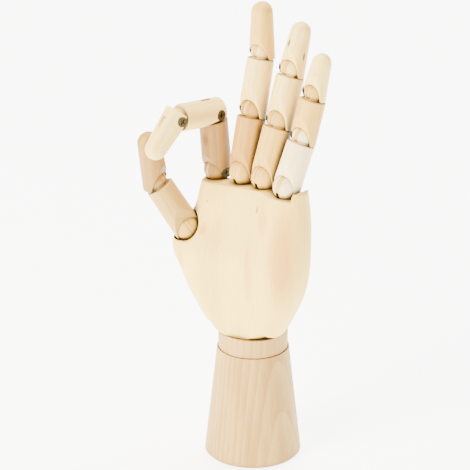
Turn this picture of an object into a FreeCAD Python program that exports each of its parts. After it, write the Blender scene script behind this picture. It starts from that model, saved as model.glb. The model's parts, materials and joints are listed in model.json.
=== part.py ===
import FreeCAD, Part
import math
import os
import re

from FreeCAD import Placement, Rotation, Vector

# A wooden left hand on a turned forearm, in millimetres and degrees.
# Origin: centre of the forearm's underside. +Z up, palm towards -Y, thumb towards -X.
# Each finger piece is drawn upright on its own lower hinge, which turns about X and
# bends the finger towards -Y, and is then placed by its chain of joint angles.

acrossX = Rotation(Vector(0, 1, 0), 90)

common = {
    # forearm: a straight cone whose top is a shallow cup
    "base_radius": 25.0,
    "forearm_height": 59.3,
    "forearm_top_radius": 18.5,
    "base_chamfer": 0.7,
    "spring_bore_radius": 6.0,
    "bolt_well_radius": 7.5,
    "bolt_well_depth": 11.0,
    "bolt_web": 6.0,
    # wrist ring: round below for the forearm's cup, hollow above for the palm
    "ring_radius": 17.9,
    "ring_round_radius": 22.0,
    "ring_hollow_radius": 24.0,
    "ring_height": 10.0,
    "ring_bore_radius": 9.4,
    "seat_gap": 0.25,
    "palm_pivot_offset": -2.5,
    "palm_rim_rise": 5.2,
    "palm_mouth_radius": 11.4,
    "palm_bore_radius": 7.4,
    # wrist tie: swivel bolt, washer, draw spring and the screw eye in the palm
    "bolt_radius": 2.0,
    "bolt_head_radius": 4.0,
    "bolt_head_height": 3.0,
    "bolt_knob_radius": 2.9,
    "bolt_knob_height": 2.2,
    "washer_radius": 5.5,
    "washer_thickness": 1.0,
    "tie_spring_radius": 4.2,
    "tie_wire": 1.0,
    "tie_spring_rise": 9.0,
    "eye_radius": 1.9,
    "eye_wire_radius": 0.55,
    "eye_bar_radius": 0.75,
    "eye_shank_radius": 0.9,
    "eye_shank_length": 14.0,
    # finger hinges
    "ball_radius": 6.85,
    "ball_gap": 0.15,
    "dome_gap": 0.3,
    "dome_inset": 1.3,
    "neck_inset": 0.75,
    "cheek_drop": 3.4,
    "cheek_round": 3.5,
    "ball_cheek_drop": 2.8,
    "ball_cheek_round": 3.25,
    "shoulder_gap": 0.35,
    "shoulder_chamfer": 0.35,
    "notch_reach": 2.2,
    "tongue_thickness": 1.9,
    "tongue_gap": 0.15,
    "tongue_half_width": 2.2,
    "tongue_root": 4.0,
    "tongue_sink": 0.9,
    "hub_share": 0.64,
    "heel_share": 0.5,
    "slot_web_start": 2.85,
    "slot_web_top": 1.6,
    "window_start": 2.2,
    "window_length": 5.8,
    "screw_radius": 1.25,
    "screw_gap": 0.08,
    "screw_head_radius": 2.65,
    "screw_head_height": 0.8,
    "screw_head_sink": 0.25,
    "screw_end_cover": 0.45,
    "recess_width": 0.62,
    "recess_length": 3.0,
    "recess_depth": 0.5,
    # finger springs in the palm's bores
    "stem_radius": 2.0,
    "stem_wire": 0.7,
    "stem_bore_radius": 2.3,
    "stem_length": 11.0,
    # sockets
    "socket_gap": 0.2,
    "socket_drop": 4.2,
    "thumb_spot_radius": 8.5,
    "little_well_radius": 8.3,
    "knuckle_fall": 26.0,
    "knuckle_line": 1.5,
    "tip_round": 5.6,
    "cut_overrun": 30.0,
}

# ball centre, sideways lean, forward lean and turn of each finger's first piece
roots = {
    "thumb": {"x": -29.2, "y": -17.8, "z": 120.8, "lean": -26.5, "front": 19.8, "turn": 62.0},
    "index": {"x": -25.9, "y": 0.0, "z": 149.3, "lean": -0.5, "front": 5.3, "turn": -5.0},
    "middle": {"x": -7.5, "y": 0.0, "z": 152.4, "lean": -1.2, "front": -13.6, "turn": 0.0},
    "ring": {"x": 7.9, "y": 0.0, "z": 153.7, "lean": 1.4, "front": -18.9, "turn": 0.0},
    "little": {"x": 22.9, "y": 0.0, "z": 152.6, "lean": 4.6, "front": -21.0, "turn": 0.0},
}

# hinge to hinge length, radii at the foot and the head, bend at the foot, notch height,
# and how far the upper hinge is turned from the lower one
pieces = {
    "thumb_proximal": {"length": 30.2, "foot": 7.55, "head": 7.2, "bend": 0.0, "notch": 12.5, "twist": 34.7},
    "thumb_distal": {"length": 28.3, "foot": 7.0, "head": 5.9, "bend": 29.3, "notch": 11.0, "twist": 0.0},
    "index_proximal": {"length": 31.3, "foot": 7.5, "head": 7.3, "bend": 0.0, "notch": 9.8, "twist": 0.0},
    "index_middle": {"length": 24.6, "foot": 7.25, "head": 6.9, "bend": 79.8, "notch": 14.5, "twist": 0.0},
    "index_distal": {"length": 23.3, "foot": 6.75, "head": 5.5, "bend": 52.6, "notch": 8.5, "twist": 0.0},
    "middle_proximal": {"length": 32.2, "foot": 7.5, "head": 7.35, "bend": 0.0, "notch": 12.8, "twist": 0.0},
    "middle_middle": {"length": 29.7, "foot": 7.3, "head": 6.8, "bend": 0.0, "notch": 13.8, "twist": 0.0},
    "middle_distal": {"length": 25.5, "foot": 6.6, "head": 5.4, "bend": 12.5, "notch": 10.6, "twist": 0.0},
    "ring_proximal": {"length": 29.5, "foot": 7.5, "head": 7.4, "bend": 0.0, "notch": 12.0, "twist": 0.0},
    "ring_middle": {"length": 26.4, "foot": 7.3, "head": 7.1, "bend": 1.6, "notch": 14.1, "twist": 0.0},
    "ring_distal": {"length": 24.0, "foot": 6.9, "head": 5.2, "bend": 0.0, "notch": 11.8, "twist": 0.0},
    "little_proximal": {"length": 26.8, "foot": 7.3, "head": 7.0, "bend": 0.0, "notch": 12.2, "twist": 0.0},
    "little_middle": {"length": 22.6, "foot": 6.9, "head": 6.7, "bend": 6.5, "notch": 10.9, "twist": 0.0},
    "little_distal": {"length": 20.0, "foot": 6.3, "head": 4.9, "bend": 0.5, "notch": 11.1, "twist": 0.0},
}

fingers = {
    "thumb": ["thumb_proximal", "thumb_distal"],
    "index": ["index_proximal", "index_middle", "index_distal"],
    "middle": ["middle_proximal", "middle_middle", "middle_distal"],
    "ring": ["ring_proximal", "ring_middle", "ring_distal"],
    "little": ["little_proximal", "little_middle", "little_distal"],
}

# the screws of the index show on its little-finger side, the thumb's face its back
headSide = {"thumb": 1, "index": 1, "middle": -1, "ring": -1, "little": -1}

# palm: at each height three round corners, little-finger side, back and ball of the thumb
palmStations = [
    {"z": 58.0, "ulnar": (1.0, 0.0, 14.0), "back": (-1.5, 0.6, 14.0), "thenar": (-2.0, -1.2, 14.0)},
    {"z": 66.0, "ulnar": (1.5, 0.0, 14.6), "back": (-2.0, 0.5, 14.5), "thenar": (-3.2, -2.0, 14.5)},
    {"z": 73.0, "ulnar": (6.0, 0.0, 14.3), "back": (-7.0, 0.0, 14.2), "thenar": (-9.0, -4.5, 14.3)},
    {"z": 80.0, "ulnar": (10.4, 0.0, 13.9), "back": (-12.0, 0.0, 13.7), "thenar": (-13.6, -6.5, 13.8)},
    {"z": 92.0, "ulnar": (17.0, 0.0, 13.5), "back": (-18.5, 0.5, 12.8), "thenar": (-20.0, -10.8, 12.4)},
    {"z": 101.0, "ulnar": (20.2, 0.0, 13.2), "back": (-21.5, 0.8, 12.2), "thenar": (-24.0, -13.5, 11.0)},
    {"z": 110.0, "ulnar": (21.8, 0.0, 13.0), "back": (-23.0, 1.0, 11.8), "thenar": (-27.0, -16.2, 10.4)},
    {"z": 116.0, "ulnar": (22.3, 0.0, 12.9), "back": (-23.5, 1.2, 11.5), "thenar": (-27.6, -15.6, 10.0)},
    {"z": 124.0, "ulnar": (22.6, 0.0, 12.8), "back": (-24.0, 1.5, 11.2), "thenar": (-26.2, -9.5, 9.2)},
    {"z": 132.0, "ulnar": (22.8, 0.0, 12.6), "back": (-24.0, 1.8, 10.8), "thenar": (-24.5, -5.2, 8.2)},
    {"z": 140.0, "ulnar": (22.8, 0.2, 12.0), "back": (-24.0, 2.2, 10.0), "thenar": (-24.0, -3.6, 7.8)},
    {"z": 146.5, "ulnar": (24.0, 0.5, 10.2), "back": (-23.5, 2.6, 8.6), "thenar": (-23.5, -2.2, 7.0)},
    {"z": 152.0, "ulnar": (26.2, 1.2, 7.4), "back": (-22.8, 3.0, 6.4), "thenar": (-22.8, -0.4, 5.8)},
]

doc = FreeCAD.newDocument("hand_mannequin")
sheet = doc.addObject("Spreadsheet::Sheet", "sizes")


def fillSheet():
    rows = dict(common)
    for finger, values in roots.items():
        for key, value in values.items():
            rows[f"{finger}_root_{key}"] = value
    for piece, values in pieces.items():
        for key, value in values.items():
            rows[f"{piece}_{key}"] = value
    for row, (alias, value) in enumerate(rows.items(), start=1):
        sheet.set(f"A{row}", alias)
        sheet.set(f"B{row}", str(value))
        sheet.setAlias(f"B{row}", alias)
    doc.recompute()


def size(alias):
    return float(sheet.get(alias))


def bound(text):
    # writes every alias in a formula as a cell of the sheet
    return re.sub(r"[a-z]+(?:_[a-z]+)+", lambda found: "sizes." + found.group(), text)


def solid(kind, name, at=(0, 0, 0), turn=None, **formulas):
    item = doc.addObject("Part::" + kind, name)
    if turn is not None:
        item.Placement = Placement(Vector(), turn)
    for prop, text in formulas.items():
        item.setExpression(prop, bound(text))
    for axis, text in zip("xyz", at):
        if text:
            item.setExpression("Placement.Base." + axis, bound(text))
    return item


def fuse(name, *items):
    joined = doc.addObject("Part::MultiFuse", name)
    joined.Shapes = list(items)
    return joined


def cut(name, base, *tools):
    result = doc.addObject("Part::Cut", name)
    result.Base = base
    result.Tool = tools[0] if len(tools) == 1 else fuse(name + "_tools", *tools)
    return result


def overlap(name, first, second):
    result = doc.addObject("Part::Common", name)
    result.Base = first
    result.Tool = second
    return result


nodes = {}


def keep(node, item, place=None):
    item.Label = node
    if place is not None:
        item.Placement = place
    nodes[node] = item
    return item


def rod(name, radius, start, end):
    # a rod along X from start to end
    return solid("Cylinder", name, (start, 0, 0), acrossX, Radius=radius, Height=f"({end}) - ({start})")


def upright(name, radius, low, high, x=0):
    # a rod along Z from low to high
    return solid("Cylinder", name, (x, 0, low), None, Radius=radius, Height=f"({high}) - ({low})")


def block(name, low, high):
    spans = [f"({top}) - ({bottom})" for bottom, top in zip(low, high)]
    return solid("Box", name, low, None, Length=spans[0], Width=spans[1], Height=spans[2])


def rootPlace(finger):
    lean, front, turn = (size(f"{finger}_root_{key}") for key in ("lean", "front", "turn"))
    way = Rotation(Vector(0, 1, 0), lean) * Rotation(Vector(1, 0, 0), front) * Rotation(Vector(0, 0, 1), turn)
    return Placement(rootPoint(finger), way)


def rootPoint(finger):
    return Vector(*(size(f"{finger}_root_{key}") for key in "xyz"))


def piecePlaces():
    # the frame of every finger piece at its lower hinge
    places = {}
    for finger, chain in fingers.items():
        place = rootPlace(finger)
        for piece in chain:
            place = place * Placement(Vector(), Rotation(Vector(1, 0, 0), size(piece + "_bend")))
            places[piece] = place
            place = place * headPlace(piece)
    return places


def headPlace(piece):
    # the upper hinge, turned about the piece's own axis
    twist = Rotation(Vector(0, 0, 1), size(piece + "_twist"))
    return Placement(Vector(0, 0, size(piece + "_length")), twist)


def onBall(piece):
    return piece.endswith("proximal")


def jointRadius(piece):
    # the ball or dome that the piece's foot turns on
    return "ball_radius" if onBall(piece) else f"({piece}_foot - dome_inset)"


def hollowRadius(piece):
    return "(ball_radius + ball_gap)" if onBall(piece) else f"({piece}_foot - dome_inset + dome_gap)"


def cheekDrop(piece):
    return "ball_cheek_drop" if onBall(piece) else "cheek_drop"


def cheekRound(piece):
    return "ball_cheek_round" if onBall(piece) else "cheek_round"


def bodyOfPiece(piece):
    # the turned outside, with a shoulder at the head or a round fingertip
    drop = cheekDrop(piece)
    isTip = piece.endswith("distal")
    top = f"{piece}_length - cheek_drop - shoulder_gap - shoulder_chamfer"
    if isTip:
        top = f"{piece}_length - tip_round"
    cone = solid("Cone", piece + "_cone", (0, 0, f"-{drop}"), Radius1=f"{piece}_foot",
                 Radius2=f"{piece}_head", Height=f"{top} + {drop}")
    if isTip:
        end = solid("Ellipsoid", piece + "_end", (0, 0, top), Radius1="tip_round",
                    Radius2=f"{piece}_head", Radius3=f"{piece}_head")
    else:
        end = solid("Cone", piece + "_shoulder", (0, 0, top), Radius1=f"{piece}_head",
                    Radius2=f"{piece}_head - shoulder_chamfer", Height="shoulder_chamfer")
    return fuse(piece + "_body", cone, end)


def tongueSlot(name, radius, place, *others):
    # the saw cut in a ball or dome, with a web left standing at the back
    half = "(tongue_thickness / 2 + tongue_gap)"
    reach = f"({radius} + tongue_gap)"
    disc = rod(name + "_disc", reach, f"-{half}", half)
    web = block(name + "_web", (f"-2 * {half}", "slot_web_start", f"-{reach}"),
                (f"2 * {half}", reach, "slot_web_top"))
    hub = rod(name + "_hub", f"{radius} * hub_share + tongue_gap", f"-{half}", half)
    slot = fuse(name, cut(name + "_open", disc, web), hub, *others)
    slot.Placement = place
    return slot


def sideTurn(side):
    return Rotation(Vector(0, 0, 1), 0 if side > 0 else 180)


def screwHole(piece, side):
    # the hinge screw's hole in both cheeks with the seat for its head
    floor = f"{piece}_foot - screw_head_sink - screw_head_height"
    shank = rod(piece + "_hole_shank", "screw_radius", f"-({piece}_foot - screw_end_cover)", f"{piece}_foot")
    seat = rod(piece + "_hole_seat", "screw_head_radius", floor, f"{piece}_foot + cut_overrun")
    hole = fuse(piece + "_hole", shank, seat)
    hole.Placement = Placement(Vector(), sideTurn(side))
    return hole


def notchCuts(piece):
    # the slanted notch on the palm side and the rounded lower corner of both cheeks
    foot = piece + "_foot"
    slope = f"(({foot} - notch_reach) / {piece}_notch)"
    low = f"({cheekDrop(piece)} + shoulder_gap)"
    high = f"(2 * {piece}_notch)"
    side = f"2 * {foot}"
    notch = solid("Wedge", piece + "_notch_cut", (0, 0, 0), Rotation(Vector(1, 0, 0), 90),
                  Xmin=f"-{side}", Xmax=side, X2min=f"-{side}", X2max=side,
                  Ymin=f"-{low}", Ymax=high, Zmax="cut_overrun", Z2max="cut_overrun",
                  Zmin=f"notch_reach - {low} * {slope}", Z2min=f"notch_reach + {high} * {slope}")
    square = block(piece + "_corner_block", (f"-{side}", "-cut_overrun", "-cut_overrun"),
                   (side, "0", "0"))
    corner = cut(piece + "_corner", square, rod(piece + "_corner_round", cheekRound(piece), f"-2 * {side}",
                                                f"2 * {side}"))
    return notch, corner


def footCuts(piece, side):
    # the hollow, the notch, the tongue's saw cut and the screw's hole
    radius = hollowRadius(piece)
    half = "(tongue_thickness / 2)"
    ball = solid("Sphere", piece + "_hollow", Radius=radius)
    bore = upright(piece + "_bore", radius, f"-2 * {cheekDrop(piece)}", "0")
    saw = block(piece + "_saw", (f"-{half}", "-tongue_half_width", "0"),
                (half, "tongue_half_width", f"{radius} + tongue_root"))
    window = block(piece + "_window", (f"-{half}", "0", "window_start"),
                   (half, f"2 * {piece}_foot", "window_start + window_length"))
    return [ball, bore, *notchCuts(piece), saw, window, screwHole(piece, side)]


def makePiece(piece, upper, side, place):
    outside = cut(piece + "_footed", bodyOfPiece(piece), *footCuts(piece, side))
    if upper is None:
        return keep(piece, outside, place)
    head = f"{piece}_length"
    radius = jointRadius(upper)
    dome = solid("Sphere", piece + "_dome", (0, 0, head), Radius=radius)
    neck = upright(piece + "_neck", f"{radius} - neck_inset", f"{head} - 2 * cheek_drop", head)
    whole = fuse(piece + "_headed", outside, dome, neck)
    pin = rod(piece + "_head_pin", "screw_radius + screw_gap", f"-2 * {upper}_foot", f"2 * {upper}_foot")
    slot = tongueSlot(piece + "_slot", radius, headPlace(piece), pin)
    return keep(piece, cut(piece, whole, slot), place)


def makeTongue(piece, place):
    # a thin blade glued into the foot, round where it turns in the slot
    radius = f"({jointRadius(piece)} - tongue_gap)"
    half = "(tongue_thickness / 2)"
    side, far = "tongue_thickness", f"2 * {radius}"
    disc = rod(piece + "_tongue_disc", radius, f"-{half}", half)
    heel = block(piece + "_tongue_heel", (f"-{side}", f"-{far}", f"-{far}"), (side, far, f"-heel_share * {radius}"))
    back = block(piece + "_tongue_back", (f"-{side}", "tongue_half_width", f"-{far}"), (side, far, far))
    hub = rod(piece + "_tongue_hub", f"hub_share * {jointRadius(piece)}", f"-{half}", half)
    stem = block(piece + "_tongue_stem", (f"-{half}", "-tongue_half_width", "0"),
                 (half, "tongue_half_width", f"{hollowRadius(piece)} + tongue_root"))
    fin = block(piece + "_tongue_fin", (f"-{half}", "0", "window_start"),
                (half, f"{piece}_foot - tongue_sink", "window_start + window_length"))
    blade = fuse(piece + "_blade", cut(piece + "_tongue_face", disc, heel, back), hub, stem, fin)
    hole = rod(piece + "_tongue_hole", "screw_radius", f"-{side}", side)
    return keep(piece + "_tongue", cut(piece + "_tongue", blade, hole), place)


def makeScrew(piece, side, place):
    top = f"{piece}_foot - screw_head_sink"
    shank = rod(piece + "_screw_shank", "screw_radius", f"-({piece}_foot - screw_end_cover)", top)
    head = rod(piece + "_screw_head", "screw_head_radius", f"{top} - screw_head_height", top)
    low, high = f"{top} - recess_depth", f"{top} + recess_depth"
    arm, edge = "recess_length / 2", "recess_width / 2"
    tall = block(piece + "_recess_tall", (low, f"-{edge}", f"-{arm}"), (high, edge, arm))
    wide = block(piece + "_recess_wide", (low, f"-{arm}", f"-{edge}"), (high, arm, edge))
    screw = cut(piece + "_screw", fuse(piece + "_screw_blank", shank, head), tall, wide)
    return keep(piece + "_screw", screw, place * Placement(Vector(), sideTurn(side)))


def makeBall(finger, side):
    piece = fingers[finger][0]
    ball = solid("Sphere", finger + "_ball_round", Radius="ball_radius")
    slot = tongueSlot(finger + "_ball_slot", "ball_radius", Placement())
    floor = f"{piece}_foot - screw_head_sink - screw_head_height - ball_gap"
    hole = rod(finger + "_ball_hole", "screw_radius + screw_gap", "-2 * ball_radius", "2 * ball_radius")
    recess = fuse(finger + "_ball_recess",
                  rod(finger + "_ball_seat", "screw_head_radius + ball_gap", floor, "2 * ball_radius"),
                  rod(finger + "_ball_entry", "screw_radius + screw_gap", "0", "2 * ball_radius"))
    recess.Placement = Placement(Vector(), sideTurn(side))
    return keep(finger + "_ball", cut(finger + "_ball", ball, slot, hole, recess), rootPlace(finger))


def makeFingerSpring(finger):
    foot = "(ball_radius + socket_gap + stem_length)"
    outer = upright(finger + "_coil", "stem_radius", f"-{foot}", f"-{foot} + stem_length - socket_gap")
    inner = upright(finger + "_coil_bore", "stem_radius - stem_wire", f"-2 * {foot}", "0")
    return keep(finger + "_spring", cut(finger + "_spring", outer, inner), rootPlace(finger))


# height of the ring's rocking centre, where its rounded lower end turns in the cup
ringPivot = ("(forearm_height + sqrt((ring_round_radius + seat_gap) ^ 2"
             " - (ring_radius + seat_gap) ^ 2))")
# height of the centre that the palm's rounded end turns about
palmPivot = "(forearm_height + ring_height + sqrt(ring_hollow_radius ^ 2 - ring_radius ^ 2))"


def makeForearm():
    foot = solid("Cone", "forearm_foot", Radius1="base_radius - base_chamfer", Radius2="base_radius",
                 Height="base_chamfer")
    cone = solid("Cone", "forearm_cone", (0, 0, "base_chamfer"), Radius1="base_radius",
                 Radius2="forearm_top_radius", Height="forearm_height - base_chamfer")
    cup = solid("Sphere", "forearm_cup", (0, 0, ringPivot), Radius="ring_round_radius + seat_gap")
    bore = upright("forearm_bore", "spring_bore_radius", "bolt_well_depth + bolt_web", "forearm_height")
    well = upright("forearm_well", "bolt_well_radius", "-base_chamfer", "bolt_well_depth")
    hole = upright("forearm_bolt_hole", "bolt_radius + screw_gap", "-base_chamfer", "forearm_height")
    return keep("forearm_base", cut("forearm", fuse("forearm_blank", foot, cone), cup, bore, well, hole))


def makeRing():
    # a rod rounded below and hollowed above, with a bore wide enough for the draw spring
    low = f"({ringPivot} - ring_round_radius)"
    rim = "forearm_height + ring_height"
    blank = overlap("ring_blank", upright("ring_rod", "ring_radius", low, rim),
                    solid("Sphere", "ring_round", (0, 0, ringPivot), Radius="ring_round_radius"))
    hollow = solid("Sphere", "ring_hollow", ("palm_pivot_offset", 0, palmPivot), Radius="ring_hollow_radius")
    bore = upright("ring_bore", "ring_bore_radius", low, f"{low} + ring_round_radius")
    return keep("wrist_ring", cut("ring", blank, hollow, bore))


def makeTie():
    # a swivel bolt under its web, the draw spring on it and the screw eye in the palm
    web = "bolt_well_depth"
    under = f"({web} - washer_thickness - seat_gap)"
    head = f"({under} - bolt_head_height)"
    knob = f"({web} + bolt_web + tie_spring_rise)"
    washer = cut("washer", upright("washer_disc", "washer_radius", under, f"{under} + washer_thickness"),
                 upright("washer_hole", "bolt_radius", "0", web))
    keep("wrist_washer", washer)
    bolt = fuse("bolt", upright("bolt_head", "bolt_head_radius", head, under),
                upright("bolt_shank", "bolt_radius", head, knob),
                upright("bolt_knob", "bolt_knob_radius", knob, f"{knob} + bolt_knob_height"))
    slot = block("bolt_slot", ("-bolt_head_radius", "-recess_width", f"{head} - recess_depth"),
                 ("bolt_head_radius", "recess_width", f"{head} + recess_depth"))
    keep("wrist_bolt", cut("bolt_slotted", bolt, slot))
    bottom = f"({knob} - tie_wire)"
    top = f"({palmPivot} + 2 * eye_bar_radius)"
    inside = "(tie_spring_radius - tie_wire)"
    tube = cut("tie_tube", upright("tie_coils", "tie_spring_radius", bottom, top),
               upright("tie_inside", inside, knob, f"{top} + tie_wire"),
               upright("tie_collar", "bolt_radius", "0", knob))
    bar = rod("tie_bar", "eye_bar_radius", f"-({inside} + tie_wire / 2)", f"{inside} + tie_wire / 2")
    bar.setExpression("Placement.Base.z", bound(palmPivot))
    keep("wrist_spring", fuse("tie", tube, bar))
    ring = solid("Torus", "eye_ring", (0, 0, palmPivot), acrossX, Radius1="eye_radius",
                 Radius2="eye_wire_radius")
    shank = upright("eye_shank", "eye_shank_radius", f"{palmPivot} + eye_radius",
                    f"{palmPivot} + eye_radius + eye_shank_length")
    keep("palm_screw_eye", fuse("eye", ring, shank))


def cornerWire(station):
    # the outline around three round corners, joined by their common tangents
    corners = [(Vector(x, y, 0), r) for x, y, r in (station[key] for key in ("ulnar", "back", "thenar"))]
    sides = []
    for (first, firstRadius), (second, secondRadius) in zip(corners, corners[1:] + corners[:1]):
        way = second - first
        along = way / way.Length
        outward = Vector(along.y, -along.x, 0)
        lean = math.asin((firstRadius - secondRadius) / way.Length)
        normal = outward * math.cos(lean) + along * math.sin(lean)
        sides.append((first + normal * firstRadius, second + normal * secondRadius, normal))
    edges = []
    for index, (centre, radius) in enumerate(corners):
        arrive = sides[index - 1]
        leave = sides[index]
        start = math.atan2(arrive[2].y, arrive[2].x)
        turn = (math.atan2(leave[2].y, leave[2].x) - start) % math.tau
        middle = Vector(math.cos(start + turn / 2), math.sin(start + turn / 2), 0)
        edges.append(Part.Arc(arrive[1], centre + middle * radius, leave[0]).toShape())
        edges.append(Part.LineSegment(leave[0], leave[1]).toShape())
    wire = Part.Wire(edges)
    wire.translate(Vector(0, 0, station["z"]))
    return wire


def knuckleTool(name, outline, way):
    # everything above the knuckle line, swept from its plane along one way
    face = doc.addObject("Part::Polygon", name + "_outline")
    face.Nodes = outline
    face.Close = True
    prism = doc.addObject("Part::Extrusion", name)
    prism.Base = face
    prism.DirMode = "Custom"
    prism.Dir = way
    prism.Solid = True
    prism.setExpression("LengthFwd", bound("cut_overrun"))
    return prism


def knuckleCuts():
    # level to the front and falling away to the back, a little lower beside the little finger
    index, ring, little = (rootPoint(finger) for finger in ("index", "ring", "little"))
    rise = (ring.z - index.z) / (ring.x - index.x)
    fallWidth = (little.x - ring.x) / 3
    reach = size("cut_overrun")
    edge = little.x + size("little_well_radius")
    line = [(index.x - reach, index.z - reach * rise), (ring.x + fallWidth, ring.z),
            (little.x - fallWidth, little.z), (edge, little.z), (edge, ring.z + reach), (index.x - reach, ring.z + reach)]
    drop = size("socket_drop")
    outline = [Vector(x, size("knuckle_line"), z - drop) for x, z in line]
    fall = math.radians(size("knuckle_fall"))
    return [knuckleTool("knuckle_front", outline, Vector(0, -1, 0)),
            knuckleTool("knuckle_back", outline, Vector(0, math.cos(fall), -math.sin(fall)))]


def makeSocket(finger):
    # the ball's seat and the bore for the spring under it
    foot = "(ball_radius + 2 * socket_gap + stem_length)"
    shapes = [solid("Sphere", finger + "_seat", Radius="ball_radius + socket_gap"),
              upright(finger + "_stem_bore", "stem_bore_radius", f"-{foot}", "0")]
    if finger == "thumb":
        shapes.append(upright("thumb_spot", "thumb_spot_radius", "-socket_drop", "cut_overrun"))
    socket = fuse(finger + "_socket", *shapes)
    socket.Placement = rootPlace(finger)
    return socket


def makePalm():
    blank = doc.addObject("Part::Feature", "palm_blank")
    blank.Shape = Part.makeLoft([cornerWire(station) for station in palmStations], True)
    low = f"{palmPivot} - ring_hollow_radius - cut_overrun"
    rim = "(forearm_height + ring_height)"
    roller = rod("palm_end_roller", f"{palmPivot} - {rim} - shoulder_gap", "-2 * cut_overrun", "2 * cut_overrun")
    roller.setExpression("Placement.Base.z", bound(palmPivot))
    end = cut("palm_end", upright("palm_end_rod", "2 * cut_overrun", low, f"{rim} + palm_rim_rise"),
              solid("Sphere", "palm_end_round", ("palm_pivot_offset", 0, palmPivot),
                    Radius="ring_hollow_radius - seat_gap"), roller)
    mouth = solid("Cone", "palm_mouth", (0, 0, f"{palmPivot} - ring_hollow_radius - seat_gap"),
                  Radius1="palm_mouth_radius", Radius2="palm_bore_radius",
                  Height="ring_hollow_radius + seat_gap + 2 * eye_bar_radius + tie_wire")
    pilot = upright("palm_pilot", "eye_shank_radius", palmPivot, f"{palmPivot} + eye_radius + eye_shank_length")
    sockets = [makeSocket(finger) for finger in fingers]
    return keep("palm", cut("palm", blank, end, mouth, pilot, *knuckleCuts(), *sockets))


def build():
    fillSheet()
    makeForearm()
    makeRing()
    makeTie()
    makePalm()
    places = piecePlaces()
    for finger, chain in fingers.items():
        side = headSide[finger]
        makeBall(finger, side)
        makeFingerSpring(finger)
        for piece, upper in zip(chain, chain[1:] + [None]):
            makePiece(piece, upper, side, places[piece])
            makeTongue(piece, places[piece])
            makeScrew(piece, side, places[piece])
    doc.recompute()


def write():
    for item in doc.Objects:
        if "Invalid" in item.State or "Error" in item.State:
            raise RuntimeError(f"{item.Label} failed: {item.State}")
    os.makedirs("parts", exist_ok=True)
    for node, item in nodes.items():
        shape = item.Shape
        if shape.isNull() or not shape.isValid() or not shape.Solids:
            raise RuntimeError(f"{node} has no valid solid")
        shape.exportStep(f"parts/{node}.step")
        print(f"{node}: {len(shape.Solids)} solid, {shape.Volume:.1f} mm3")


build()
write()
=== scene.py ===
import json
import math

import bpy
import numpy as np
from mathutils import Matrix, Vector


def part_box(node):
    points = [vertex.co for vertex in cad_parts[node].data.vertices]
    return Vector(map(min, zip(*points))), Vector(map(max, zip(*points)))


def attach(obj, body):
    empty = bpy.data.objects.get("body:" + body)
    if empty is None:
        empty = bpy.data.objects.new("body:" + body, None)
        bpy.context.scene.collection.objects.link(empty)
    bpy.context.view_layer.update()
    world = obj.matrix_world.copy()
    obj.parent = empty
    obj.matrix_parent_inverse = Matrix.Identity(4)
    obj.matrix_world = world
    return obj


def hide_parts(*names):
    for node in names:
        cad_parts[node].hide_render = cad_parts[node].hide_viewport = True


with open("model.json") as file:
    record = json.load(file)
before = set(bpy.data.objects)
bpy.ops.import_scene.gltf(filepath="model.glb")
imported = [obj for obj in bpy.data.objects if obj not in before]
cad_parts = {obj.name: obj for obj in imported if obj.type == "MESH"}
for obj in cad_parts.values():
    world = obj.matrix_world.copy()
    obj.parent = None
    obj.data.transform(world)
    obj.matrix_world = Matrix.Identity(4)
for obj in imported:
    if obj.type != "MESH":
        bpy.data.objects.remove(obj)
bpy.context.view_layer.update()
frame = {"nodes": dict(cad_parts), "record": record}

mmPerMetre = 1000


def linear(code):
    # an sRGB hex colour as linear light
    parts = [int(code[i:i + 2], 16) / 255 for i in (1, 3, 5)]
    return tuple(c / 12.92 if c <= 0.04045 else ((c + 0.055) / 1.055) ** 2.4 for c in parts) + (1.0,)


def addNode(tree, kind, inputs=None, **settings):
    # one node; an input is a constant, the socket that feeds it, or a node whose first output feeds it
    node = tree.nodes.new(kind)
    for key, value in settings.items():
        setattr(node, key, value)
    for key, value in (inputs or {}).items():
        if isinstance(value, bpy.types.Node):
            value = value.outputs[0]
        if isinstance(value, bpy.types.NodeSocket):
            tree.links.new(value, node.inputs[key])
        else:
            node.inputs[key].default_value = value
    return node


# a Mix node's colour sockets share their names with its others, so they go by number
mixAmount, mixUnder, mixOver, mixResult = 0, 6, 7, 2


def newMaterial(name):
    material = bpy.data.materials.new(name)
    material.use_nodes = True
    material.node_tree.nodes.clear()
    return material, material.node_tree


def finishMaterial(tree, inputs):
    shader = addNode(tree, "ShaderNodeBsdfPrincipled", inputs)
    addNode(tree, "ShaderNodeOutputMaterial", {"Surface": shader})


def meshPoints(node):
    mesh = frame["nodes"][node].data
    points = np.empty(len(mesh.vertices) * 3)
    mesh.vertices.foreach_get("co", points)
    return points.reshape(-1, 3)


def longAxis(offsets):
    # the direction in which the points are spread most
    return Vector(np.linalg.eigh(offsets.T @ offsets)[1][:, 2])


# the photograph's view: a long lens a little above the hand, 45 degrees round to the little finger's side
viewpoint = {"azimuth": 45.0, "elevation": 22.86, "distance": 1.2, "lens": 181.8, "sensor": 36.0,
             "aim": (-0.00658, -0.00658, 0.1203), "pixels": 470}


def cameraAxes():
    turn, tilt = math.radians(viewpoint["azimuth"]), math.radians(viewpoint["elevation"])
    back = Vector((math.sin(turn) * math.cos(tilt), -math.cos(turn) * math.cos(tilt), math.sin(tilt)))
    right = Vector((math.cos(turn), math.sin(turn), 0))
    return right, back.cross(right), back


def seenPlace(node, seen):
    # the point of the node that the photograph shows at a pixel
    right, up, back = cameraAxes()
    eye = Vector(viewpoint["aim"]) + back * viewpoint["distance"]
    middle = viewpoint["pixels"] / 2
    perPixel = viewpoint["sensor"] / viewpoint["lens"] / viewpoint["pixels"]
    ray = right * (seen[0] - middle) * perPixel + up * (middle - seen[1]) * perPixel - back
    found, place = frame["nodes"][node].ray_cast(eye, ray)[:2]
    assert found, node
    return place


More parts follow.
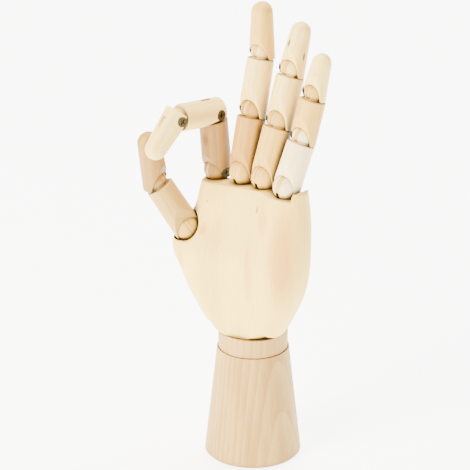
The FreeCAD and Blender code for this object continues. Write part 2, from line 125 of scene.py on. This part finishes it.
def makeCamera():
    right, up, back = cameraAxes()
    lens = bpy.data.cameras.new("portraitLens")
    lens.lens = viewpoint["lens"]
    lens.sensor_width = viewpoint["sensor"]
    camera = bpy.data.objects.new("portraitLens", lens)
    place = Matrix((right, up, back)).transposed().to_4x4()
    place.translation = Vector(viewpoint["aim"]) + back * viewpoint["distance"]
    camera.matrix_world = place
    bpy.context.scene.collection.objects.link(camera)
    bpy.context.scene.camera = camera
    print("camera ready")


# the wood's tones, deeper than the wood looks, because the bright studio washes them out
tones = {"cream": "#f0cc60", "tan": "#c09c4c", "brown": "#a07a30", "orangeTan": "#c09030",
         "honey": "#dcb048", "pale": "#f4d474", "white": "#f8dea0"}
growthShare = (0.63, 0.47, 0.32)   # light kept by the summer growth, in red, green and blue
seedStep = Vector((3.7, 5.3, 2.9))   # cells that the pattern moves on from one piece to the next

# a plain turned piece, with its sizes in millimetres
plainWood = {
    "tone": "honey",
    "figure": 0.5,   # how strongly the summer growth shows
    "growth": {"From Min": 0.38, "From Max": 0.82},   # where in the figure it starts, and where it is full
    "clouds": (7.0, 70.0), "bands": (3.2, 60.0),   # each pattern's cells, across and along the grain
    "fibres": (0.7, 16.0), "pores": (0.45, 3.5),   # drawn coarser than real so that they show
    "cloudShare": 0.6, "bandShare": 0.22, "fibreShare": 0.35,
    "wave": {"Scale": 0.32, "Distortion": 3.2, "Detail": 2.0, "Detail Scale": 0.35,
             "Detail Roughness": 0.5},   # at this scale a growth band is about a cell wide, or 3 mm
    "poreColour": "#a87a4c",
    "poreDepth": {"From Min": 0.66, "From Max": 0.78, "To Max": 0.35},
    "dustColour": "#40280e",   # painted shade: the corners under ledges and in slots are darkened, where shade falls
    "dustReach": 4.5,
    "dust": {"From Min": 0.2, "From Max": 0.92, "To Min": 0.95, "To Max": 0.0},
    "rounding": 0.35,   # what sanding takes off the edges
    "fibreHeight": 0.5, "relief": 0.25, "reliefHeight": 0.08,
    "roughness": {"To Min": 0.5, "To Max": 0.66},
}
# what each piece has of its own; the palm has broad clouds and hardly any bands, and is sanded roundest
woods = {
    "forearm_base": {"tone": "tan", "figure": 0.75},
    "wrist_ring": {"tone": "tan", "figure": 0.6},
    "palm": {"tone": "cream", "figure": 0.6, "bandShare": 0.05, "clouds": (14.0, 70.0), "rounding": 1.2},
    "thumb_proximal": {"tone": "tan"},
    "thumb_distal": {"tone": "brown"},
    "index_ball": {"tone": "brown"},
    "index_proximal": {"tone": "brown", "figure": 0.7},
    "index_middle": {"tone": "pale"},
    "index_distal": {"tone": "pale"},
    "middle_proximal": {"tone": "orangeTan", "figure": 0.6},
    "middle_middle": {"tone": "pale"},
    "ring_middle": {"tone": "pale"},
    "ring_distal": {"tone": "pale"},
    "little_ball": {"tone": "white"},
    "little_proximal": {"tone": "white", "figure": 0.35},
    "little_distal": {"tone": "pale"},
}

# knots, streaks and flecks: where each is seen in the photograph in pixels, how wide and long in millimetres,
# how strong, and its colour
marks = {
    "palm": [{"seen": (280, 262), "wide": 11.0, "long": 40.0, "strength": 0.75, "colour": "#c08428"},
             {"seen": (262, 222), "wide": 5.0, "long": 12.0, "strength": 0.5, "colour": "#c8882c"},
             {"seen": (247, 275), "wide": 3.0, "long": 26.0, "strength": 0.45, "colour": "#c8882c"},
             {"seen": (257, 210), "wide": 0.7, "long": 4.5, "strength": 0.95, "colour": "#4e2c0c"},
             {"seen": (207, 201), "wide": 0.7, "long": 0.9, "strength": 0.95, "colour": "#5c3812"},
             {"seen": (203, 229), "wide": 3.5, "long": 6.0, "strength": 0.6, "colour": "#cc8028"},
             {"seen": (180, 260), "wide": 3.5, "long": 10.0, "strength": 0.55, "colour": "#cc8028"}],
    "index_proximal": [{"seen": (205, 140), "wide": 3.0, "long": 5.0, "strength": 1.0, "colour": "#7c5000"}],
    "thumb_distal": [{"seen": (143, 140), "wide": 3.0, "long": 5.0, "strength": 0.6, "colour": "#cc9420"}],
    "ring_distal": [{"seen": (289, 43), "wide": 1.1, "long": 3.4, "strength": 1.0, "colour": "#1e1004"},
                    {"seen": (304, 57), "wide": 0.9, "long": 3.2, "strength": 1.0, "colour": "#24140a"}],
    "ring_middle": [{"seen": (295, 77), "wide": 0.9, "long": 1.4, "strength": 1.0, "colour": "#1e1004"}],
}
edgeShares = {"From Min": 1.25, "From Max": 0.45}   # where a mark ends and where it is full, of its size
tearShare = 0.5   # how far the fibres' pattern draws that edge in


def markSpread(tree, lined, fibres, place, mark):
    # how much a mark shows: all of its strength in the middle, nothing past its torn edge
    across, along = mmPerMetre / mark["wide"], mmPerMetre / mark["long"]
    away = addNode(tree, "ShaderNodeVectorMath", {0: lined, 1: place}, operation="SUBTRACT")
    scaled = addNode(tree, "ShaderNodeVectorMath", {0: away, 1: Vector((across, across, along))},
                     operation="MULTIPLY")
    reach = addNode(tree, "ShaderNodeVectorMath", {0: scaled}, operation="LENGTH")
    torn = addNode(tree, "ShaderNodeMath", {0: fibres, 1: tearShare, 2: reach.outputs["Value"]},
                   operation="MULTIPLY_ADD")
    return addNode(tree, "ShaderNodeMapRange", {"Value": torn, **edgeShares, "To Max": mark["strength"]},
                   interpolation_type="SMOOTHSTEP")


def grainAxis(node):
    # a finger's grain runs along it, so a ball takes the direction of the piece that stands on it
    if node in ("forearm_base", "wrist_ring", "palm"):
        return Vector((0, 0, 1))
    points = meshPoints(node.replace("_tongue", "").replace("_ball", "_proximal"))
    return longAxis(points - points.mean(axis=0))


def grainPatterns(tree, lined, wood, seed):
    # the clouds, growth bands, fibres and pores, each in cells that are drawn out along the grain
    cells = {}
    for pattern in ("clouds", "bands", "fibres", "pores"):
        across, along = (mmPerMetre / size for size in wood[pattern])
        cells[pattern] = addNode(tree, "ShaderNodeMapping",
                                 {"Vector": lined, "Scale": Vector((across, across, along)),
                                  "Location": seedStep * seed})
    clouds = addNode(tree, "ShaderNodeTexNoise", {"Vector": cells["clouds"], "Scale": 1.0, "Detail": 2.0})
    bands = addNode(tree, "ShaderNodeTexWave", {"Vector": cells["bands"], **wood["wave"]},
                    wave_type="BANDS", bands_direction="X", wave_profile="SAW")
    fibres = addNode(tree, "ShaderNodeTexNoise",
                     {"Vector": cells["fibres"], "Scale": 1.0, "Detail": 3.0, "Roughness": 0.6})
    pores = addNode(tree, "ShaderNodeTexNoise", {"Vector": cells["pores"], "Scale": 1.0, "Detail": 1.0})
    return clouds, bands.outputs["Fac"], fibres, pores


# sanded pale hardwood, unvarnished: satin, with soft growth bands, fine fibres and short pores
def makeHardwood(node, wood, seed):
    material, tree = newMaterial("sandedHardwood_" + node)
    low, high = (Vector(corner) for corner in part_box(node))
    toGrain = grainAxis(node).rotation_difference(Vector((0, 0, 1)))
    shift = -(toGrain @ ((low + high) / 2))
    coords = addNode(tree, "ShaderNodeTexCoord")
    lined = addNode(tree, "ShaderNodeMapping",
                    {"Vector": coords.outputs["Object"], "Rotation": toGrain.to_euler(), "Location": shift})
    clouds, bands, fibres, pores = grainPatterns(tree, lined, wood, seed)
    figure = 0.0
    for pattern, share in ((clouds, "cloudShare"), (bands, "bandShare"), (fibres, "fibreShare")):
        figure = addNode(tree, "ShaderNodeMath", {0: pattern, 1: wood[share], 2: figure},
                         operation="MULTIPLY_ADD")

    grown = addNode(tree, "ShaderNodeMapRange", {"Value": figure, **wood["growth"], "To Max": wood["figure"]},
                    interpolation_type="SMOOTHSTEP")
    porous = addNode(tree, "ShaderNodeMapRange", {"Value": pores, **wood["poreDepth"]},
                     interpolation_type="SMOOTHSTEP")
    # painted shade: ambient occlusion darkens the corners under ledges and in slots
    corner = addNode(tree, "ShaderNodeAmbientOcclusion", {"Distance": wood["dustReach"] / mmPerMetre},
                     samples=8)
    paintedShadeAmount = addNode(tree, "ShaderNodeMapRange", {"Value": corner.outputs["AO"], **wood["dust"]},
                    interpolation_type="SMOOTHSTEP")

    # the colour is the piece's tone with the growth, the pores, its marks and the painted shade in corners
    # laid over it in turn
    colour = linear(tones[wood["tone"]])
    growthColour = tuple(light * share for light, share in zip(colour, growthShare)) + (1.0,)
    layers = [(grown, growthColour), (porous, linear(wood["poreColour"]))]
    for mark in marks.get(node, []):
        place = toGrain @ seenPlace(node, mark["seen"]) + shift
        layers.append((markSpread(tree, lined, fibres, place, mark), linear(mark["colour"])))
    # the painted shade in corners and slots goes on last
    layers.append((paintedShadeAmount, linear(wood["dustColour"])))
    for amount, tint in layers:
        colour = addNode(tree, "ShaderNodeMix", {mixAmount: amount, mixUnder: colour, mixOver: tint},
                         data_type="RGBA").outputs[mixResult]

    raised = addNode(tree, "ShaderNodeMath", {0: fibres, 1: wood["fibreHeight"]}, operation="MULTIPLY")
    height = addNode(tree, "ShaderNodeMath", {0: raised, 1: porous}, operation="SUBTRACT")
    rounded = addNode(tree, "ShaderNodeBevel", {"Radius": wood["rounding"] / mmPerMetre}, samples=6)
    bump = addNode(tree, "ShaderNodeBump",
                   {"Strength": wood["relief"], "Distance": wood["reliefHeight"] / mmPerMetre,
                    "Height": height, "Normal": rounded})
    rough = addNode(tree, "ShaderNodeMapRange", {"Value": fibres, **wood["roughness"]})
    finishMaterial(tree, {"IOR": 1.5, "Specular IOR Level": 0.35,
                          "Base Color": colour, "Roughness": rough, "Normal": bump})
    return material


screws = {"plating": "#241f14", "rubbed": "#5c5540", "patchesPerMm": 0.9,
          # painted shade: the cross recess is darkened where shade falls
          "dirtColour": "#060402", "dirtReach": 1.2,   # in millimetres
          "dirt": {"From Min": 0.45, "From Max": 0.9, "To Min": 1.0, "To Max": 0.0},
          "roughness": {"To Min": 0.3, "To Max": 0.52}}


# dull zinc-plated steel screws: olive grey, rubbed lighter in places, with painted shade in the cross
def makeScrewSteel():
    material, tree = newMaterial("dullPlatedSteel")
    coords = addNode(tree, "ShaderNodeTexCoord")
    patches = addNode(tree, "ShaderNodeTexNoise",
                      {"Vector": coords.outputs["Object"], "Scale": screws["patchesPerMm"] * mmPerMetre,
                       "Detail": 3.0})
    # painted shade: ambient occlusion darkens the cross recess
    corner = addNode(tree, "ShaderNodeAmbientOcclusion", {"Distance": screws["dirtReach"] / mmPerMetre},
                     samples=8)
    crossShadeAmount = addNode(tree, "ShaderNodeMapRange", {"Value": corner.outputs["AO"], **screws["dirt"]})
    colour = linear(screws["plating"])
    for amount, tint in ((patches, linear(screws["rubbed"])), (crossShadeAmount, linear(screws["dirtColour"]))):
        colour = addNode(tree, "ShaderNodeMix", {mixAmount: amount, mixUnder: colour, mixOver: tint},
                         data_type="RGBA").outputs[mixResult]
    rough = addNode(tree, "ShaderNodeMapRange", {"Value": patches, **screws["roughness"]})
    finishMaterial(tree, {"Metallic": 0.9, "Base Color": colour, "Roughness": rough})
    return material


springWire = {"dark": "#8b8b89", "bright": "#c4c3bf", "patchesPerMm": 2.2,
              "roughness": {"To Min": 0.22, "To Max": 0.36}}


# drawn spring wire: smooth bright steel, a little uneven in tone and gloss
def makeSpringSteel():
    material, tree = newMaterial("drawnSpringWire")
    coords = addNode(tree, "ShaderNodeTexCoord")
    patches = addNode(tree, "ShaderNodeTexNoise",
                      {"Vector": coords.outputs["Object"], "Scale": springWire["patchesPerMm"] * mmPerMetre,
                       "Detail": 2.0})
    colour = addNode(tree, "ShaderNodeMix",
                     {mixAmount: patches, mixUnder: linear(springWire["dark"]),
                      mixOver: linear(springWire["bright"])}, data_type="RGBA")
    rough = addNode(tree, "ShaderNodeMapRange", {"Value": patches, **springWire["roughness"]})
    finishMaterial(tree, {"Metallic": 1.0, "Base Color": colour.outputs[mixResult], "Roughness": rough})
    return material


def dressNodes():
    for seed, (name, node) in enumerate(sorted(frame["nodes"].items())):
        if name.endswith("_screw") or name in ("wrist_bolt", "wrist_washer", "palm_screw_eye"):
            finish = screwSteel
        elif name.endswith("_spring"):
            finish = springSteel
        else:
            finish = makeHardwood(name, {**plainWood, **woods.get(name, {})}, seed)
        node.data.materials.clear()
        node.data.materials.append(finish)
    print("dressed", len(frame["nodes"]), "nodes")


# the springs, with the thickness of their round wire in metres
coils = {"wrist_spring": {"wire": 0.001, "turns": 46}, "finger": {"wire": 0.0007, "turns": 13}}
coilFacets = {"alongTurn": 20, "roundWire": 10}
outerPart = 98   # percentile of a tube's radii that counts as its outside


def coilTree():
    # a helix of round wire that stands on the origin
    tree = bpy.data.node_groups.new("coiledWire", "GeometryNodeTree")
    for name, kind in (("Turns", "NodeSocketFloat"), ("Coil Radius", "NodeSocketFloat"),
                       ("Wire Radius", "NodeSocketFloat"), ("Height", "NodeSocketFloat"),
                       ("Finish", "NodeSocketMaterial")):
        tree.interface.new_socket(name, in_out="INPUT", socket_type=kind)
    tree.interface.new_socket("Geometry", in_out="OUTPUT", socket_type="NodeSocketGeometry")
    given = addNode(tree, "NodeGroupInput").outputs
    helix = addNode(tree, "GeometryNodeCurveSpiral",
                    {"Resolution": coilFacets["alongTurn"], "Rotations": given["Turns"],
                     "Start Radius": given["Coil Radius"], "End Radius": given["Coil Radius"],
                     "Height": given["Height"]})
    wire = addNode(tree, "GeometryNodeCurvePrimitiveCircle",
                   {"Resolution": coilFacets["roundWire"], "Radius": given["Wire Radius"]})
    swept = addNode(tree, "GeometryNodeCurveToMesh",
                    {"Curve": helix, "Profile Curve": wire, "Fill Caps": True})
    smooth = addNode(tree, "GeometryNodeSetShadeSmooth", {"Geometry": swept})
    real = addNode(tree, "GeometryNodeRealizeInstances", {"Geometry": smooth})
    dressed = addNode(tree, "GeometryNodeSetMaterial", {"Geometry": real, "Material": given["Finish"]})
    addNode(tree, "NodeGroupOutput", {"Geometry": dressed})
    return tree


def makeCoil(node, tree, size):
    # the coil fills the space of the plain tube that stands for it
    points = meshPoints(node)
    centre = points.mean(axis=0)
    offsets = points - centre
    axis = longAxis(offsets)
    axis = axis if axis.z > 0 else -axis
    along = offsets @ np.array(axis)
    across = np.linalg.norm(offsets - np.outer(along, np.array(axis)), axis=1)
    wireRadius = size["wire"] / 2
    carrier = bpy.data.objects.new(node + "_carrier", bpy.data.meshes.new(node + "_carrier"))
    bpy.context.scene.collection.objects.link(carrier)
    builder = carrier.modifiers.new("coil", "NODES")
    builder.node_group = tree
    values = {"Turns": float(size["turns"]), "Wire Radius": wireRadius, "Finish": springSteel,
              "Coil Radius": float(np.percentile(across, outerPart)) - wireRadius,
              "Height": float(along.max() - along.min()) - 2 * wireRadius}
    for socket in tree.interface.items_tree:
        if socket.name in values:
            builder[socket.identifier] = values[socket.name]
    evaluated = carrier.evaluated_get(bpy.context.evaluated_depsgraph_get())
    mesh = bpy.data.meshes.new_from_object(evaluated)
    bpy.data.objects.remove(carrier)
    foot = Vector(centre) + axis * (float(along.min()) + wireRadius)
    upright = Vector((0, 0, 1)).rotation_difference(axis).to_matrix().to_4x4()
    mesh.transform(Matrix.Translation(foot) @ upright)
    coil = bpy.data.objects.new(node + "_coil", mesh)
    bpy.context.scene.collection.objects.link(coil)
    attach(coil, bodyOfNode[node])
    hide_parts(node)


studio = {"floorSize": 9.0, "floorColour": "#fbfaf8", "glowColour": "#ffffff", "glowStrength": 4.5,
          "skyColour": "#ffffff", "skyStrength": 0.5}
lamps = [{"name": "keyLight", "at": (-0.25, -1.5, 1.0), "size": 1.0, "power": 125.0, "colour": "#fff6ea"},
         {"name": "fillLight", "at": (1.6, 0.3, 0.7), "size": 1.4, "power": 2.0, "colour": "#ffffff"},
         {"name": "topLight", "at": (-0.4, 0.5, 1.7), "size": 1.2, "power": 110.0, "colour": "#ffffff"}]


# matt studio paper that glows, as on a product table lit from below
def makeStudioPaper():
    material, tree = newMaterial("mattStudioPaper")
    finishMaterial(tree, {"Base Color": linear(studio["floorColour"]),
                          "Roughness": 0.9, "Specular IOR Level": 0.1,
                          "Emission Color": linear(studio["glowColour"]),
                          "Emission Strength": studio["glowStrength"]})
    return material


def makeStudio():
    bpy.ops.mesh.primitive_plane_add(size=studio["floorSize"])
    floor = bpy.context.object
    floor.name = "studioFloor"
    floor.data.materials.append(makeStudioPaper())
    world = bpy.data.worlds.new("softSky")
    world.use_nodes = True
    sky = world.node_tree.nodes["Background"]
    sky.inputs["Color"].default_value = linear(studio["skyColour"])
    sky.inputs["Strength"].default_value = studio["skyStrength"]
    bpy.context.scene.world = world
    for lamp in lamps:
        light = bpy.data.lights.new(lamp["name"], "AREA")
        light.shape = "DISK"
        light.size = lamp["size"]
        light.energy = lamp["power"]
        light.color = linear(lamp["colour"])[:3]
        holder = bpy.data.objects.new(lamp["name"], light)
        holder.location = lamp["at"]
        towards = Vector(viewpoint["aim"]) - Vector(lamp["at"])
        holder.rotation_euler = towards.to_track_quat("-Z", "Y").to_euler()
        bpy.context.scene.collection.objects.link(holder)
    print("studio ready")


bodies = frame["record"]["behaviour"]["bodies"]
bodyOfNode = {node: body for body, members in bodies.items() for node in members}
makeCamera()
makeStudio()
screwSteel = makeScrewSteel()
springSteel = makeSpringSteel()
dressNodes()
helixTree = coilTree()
for springNode in [name for name in frame["nodes"] if name.endswith("_spring")]:
    makeCoil(springNode, helixTree, coils.get(springNode, coils["finger"]))
print("springs wound")
